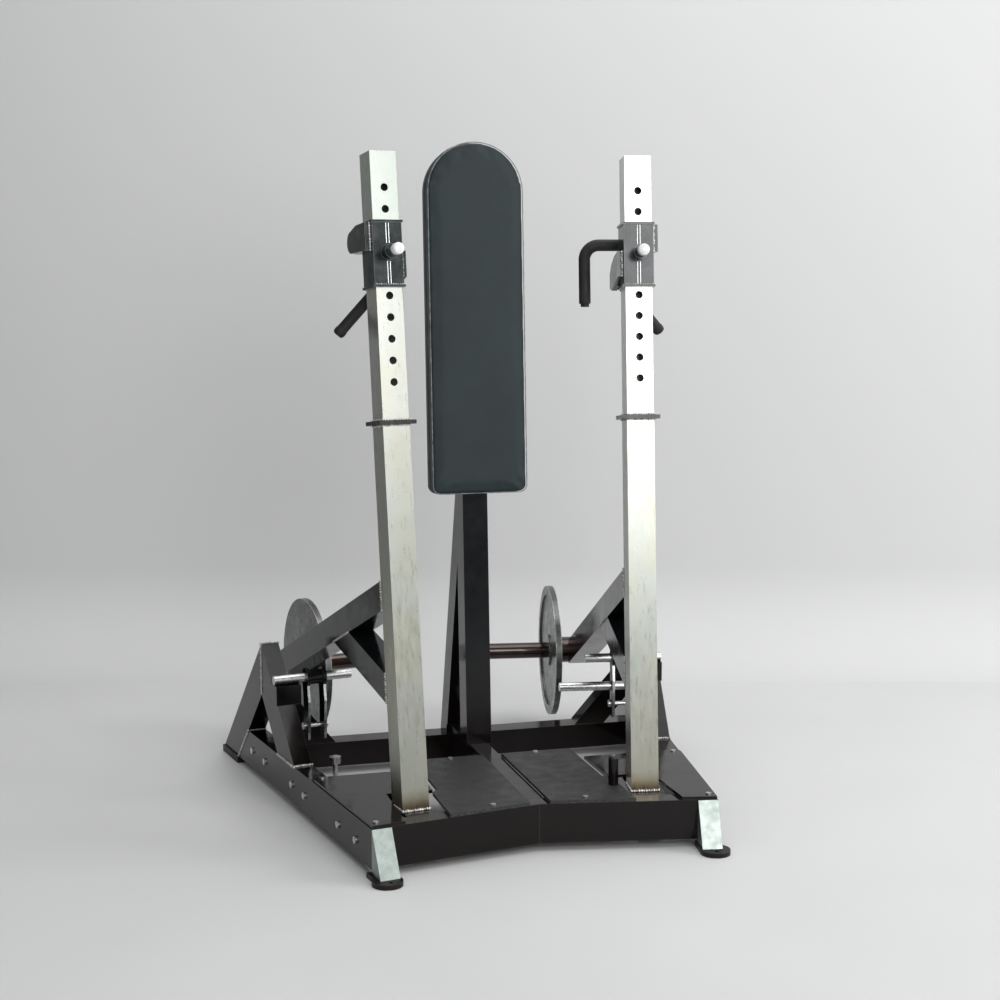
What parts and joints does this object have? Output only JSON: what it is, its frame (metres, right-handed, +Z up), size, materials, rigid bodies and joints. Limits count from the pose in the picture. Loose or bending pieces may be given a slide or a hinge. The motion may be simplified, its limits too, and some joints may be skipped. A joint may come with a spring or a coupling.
{
  "type": "hip thrust machine",
  "caption": "Plate-loaded hip thrust machine: splayed base, leaning uprights with sliding handle carriages, loading arms with discs and a tall back pad.",
  "frame": {"origin": "on the floor, at the centre of the bounding box seen from above", "axes": "+Z up, +Y to the rear of the machine, +X to the right seen from the front"},
  "size_m": [1.2798, 1.5058, 1.763],
  "materials": {
    "black_paint": "gloss",
    "silver_steel": "satin",
    "post_paint": "gloss",
    "horn_brown": "gloss",
    "disc_iron": "satin",
    "foot_texture": "matte",
    "pad_cover": "satin",
    "board": "matte",
    "grip": "matte",
    "foot_rubber": "matte",
    "carriage_paint": "gloss",
    "knob_white": "gloss"
  },
  "bodies": {
    "frame": {"front_beam_left": "black_paint", "front_beam_right": "black_paint", "side_rail_left": "black_paint", "side_rail_right": "black_paint", "rear_cross_beam": "black_paint", "centre_beam": "black_paint", "inner_rail_left": "black_paint", "inner_rail_right": "black_paint", "front_leg_left": "silver_steel", "front_leg_right": "silver_steel", "foot_pads": "foot_rubber", "frame_front_leg_left": "black_paint", "frame_front_leg_right": "black_paint", "frame_rear_leg_left": "black_paint", "frame_rear_leg_right": "black_paint", "bearing_strut_left": "black_paint", "bearing_strut_right": "black_paint", "lower_post_left": "post_paint", "lower_post_right": "post_paint", "post_collars": "silver_steel", "upper_post_left": "post_paint", "upper_post_right": "post_paint", "post_caps": "silver_steel", "arm_left": "black_paint", "arm_right": "black_paint", "knee_left": "black_paint", "knee_right": "black_paint", "horn_left": "horn_brown", "horn_right": "horn_brown", "bearing_left": "black_paint", "bearing_right": "black_paint", "pivot_shaft_left": "silver_steel", "pivot_shaft_right": "silver_steel", "centre_post": "black_paint", "centre_brace": "black_paint", "pad_board": "board", "back_pad": "pad_cover", "foot_plate_left": "foot_texture", "foot_plate_right": "foot_texture", "deck_sheet_left": "black_paint", "deck_sheet_right": "black_paint", "deck_screws": "silver_steel", "rail_bolts": "silver_steel", "stop_bolt": "silver_steel", "deck_post": "black_paint"},
    "carriage_body_left": {"carriage_left": "carriage_paint", "straight_handle_left": "grip"},
    "pin_body_left": {"pull_pin_left": "knob_white"},
    "swivel_body_left": {"curved_handle_left": "grip"},
    "lever_body_left": {"lever_left": "black_paint", "lever_bolts_left": "silver_steel"},
    "disc_body_left": {"weight_plate_left": "disc_iron"},
    "carriage_body_right": {"carriage_right": "carriage_paint", "straight_handle_right": "grip"},
    "pin_body_right": {"pull_pin_right": "knob_white"},
    "swivel_body_right": {"curved_handle_right": "grip"},
    "lever_body_right": {"lever_right": "black_paint", "lever_bolts_right": "silver_steel", "belt_peg": "silver_steel"},
    "disc_body_right": {"weight_plate_right": "disc_iron"}
  },
  "joints": [
    {"name": "carriage_slide_left", "type": "slide", "parent": "frame", "child": "carriage_body_left", "axis": [-0.0189, 0.1155, 0.9931], "range_m": [-0.305, 0.155]},
    {"name": "pin_pull_left", "type": "slide", "parent": "carriage_body_left", "child": "pin_body_left", "axis": [0.1605, -0.9801, 0.117], "range_m": [0, 0.014], "stiffness_N_per_m": 600},
    {"name": "handle_swivel_left", "type": "hinge", "parent": "carriage_body_left", "child": "swivel_body_left", "pos_m": [-0.35747, -0.26117, 1.48178], "axis": [-0.0189, 0.1155, 0.9931], "range_deg": [-36, 44]},
    {"name": "lever_swing_left", "type": "hinge", "parent": "frame", "child": "lever_body_left", "pos_m": [-0.43521, 0.07125, 0.32], "axis": [0.9869, 0.1616, 0], "range_deg": [-80, 35]},
    {"name": "disc_slide_left", "type": "slide", "parent": "frame", "child": "disc_body_left", "axis": [0.9869, 0.1616, 0], "range_m": [0, 0.19]},
    {"name": "carriage_slide_right", "type": "slide", "parent": "frame", "child": "carriage_body_right", "axis": [0.0189, 0.1155, 0.9931], "range_m": [-0.305, 0.155]},
    {"name": "pin_pull_right", "type": "slide", "parent": "carriage_body_right", "child": "pin_body_right", "axis": [-0.1605, -0.9801, 0.117], "range_m": [0, 0.014], "stiffness_N_per_m": 600},
    {"name": "handle_swivel_right", "type": "hinge", "parent": "carriage_body_right", "child": "swivel_body_right", "pos_m": [0.35747, -0.26117, 1.48178], "axis": [0.0189, 0.1155, 0.9931], "range_deg": [-80, 0]},
    {"name": "lever_swing_right", "type": "hinge", "parent": "frame", "child": "lever_body_right", "pos_m": [0.43521, 0.07125, 0.32], "axis": [0.9869, -0.1616, 0], "range_deg": [-80, 35]},
    {"name": "disc_slide_right", "type": "slide", "parent": "frame", "child": "disc_body_right", "axis": [-0.9869, 0.1616, 0], "range_m": [0, 0.19]}
  ]
}
